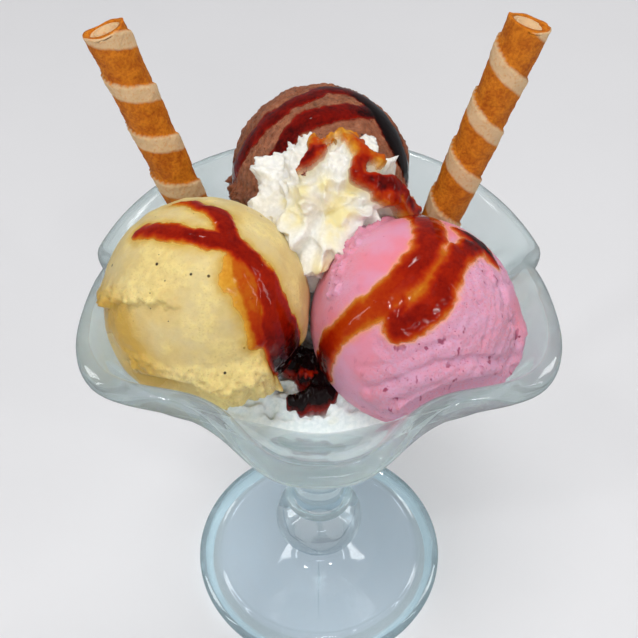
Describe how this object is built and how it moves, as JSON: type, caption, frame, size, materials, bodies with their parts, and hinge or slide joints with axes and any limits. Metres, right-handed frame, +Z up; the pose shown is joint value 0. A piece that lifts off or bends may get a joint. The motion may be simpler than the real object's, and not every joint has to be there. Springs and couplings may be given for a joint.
{
  "type": "ice cream sundae",
  "caption": "Footed glass dish with a wavy rim, filled with soft cream and scoops of ice cream under whipped cream and sauce, with rolled wafers standing in it.",
  "frame": {"origin": "middle of the foot's underside, on the surface that the glass stands on", "axes": "+Z up along the stem; -Y towards the front, where two scoops meet over a dip of the rim; +X to the right as seen from the front"},
  "size_m": [0.1264, 0.1319, 0.2099],
  "materials": {
    "dish_glass": "clear pressed glass with a faint grey-blue tint",
    "soft_cream": "moist white cream with sauce run into it at the front",
    "vanilla_ice": "pale yellow ice cream with small dark specks, under glossy caramel sauce",
    "strawberry_ice": "pink ice cream with darker flecks, under glossy red-brown sauce",
    "chocolate_ice": "brown ice cream with drag ridges, under glossy dark sauce",
    "whipped": "ragged whipped cream with streaks of caramel",
    "wafer": "dry baked wafer with pale and brown spiral bands"
  },
  "bodies": {
    "root": {"dish": "dish_glass", "cream_base": "soft_cream", "vanilla_scoop": "vanilla_ice", "strawberry_scoop": "strawberry_ice", "chocolate_scoop": "chocolate_ice", "whipped_cream": "whipped", "wafer_left": "wafer", "wafer_right": "wafer"}
  },
  "joints": []
}
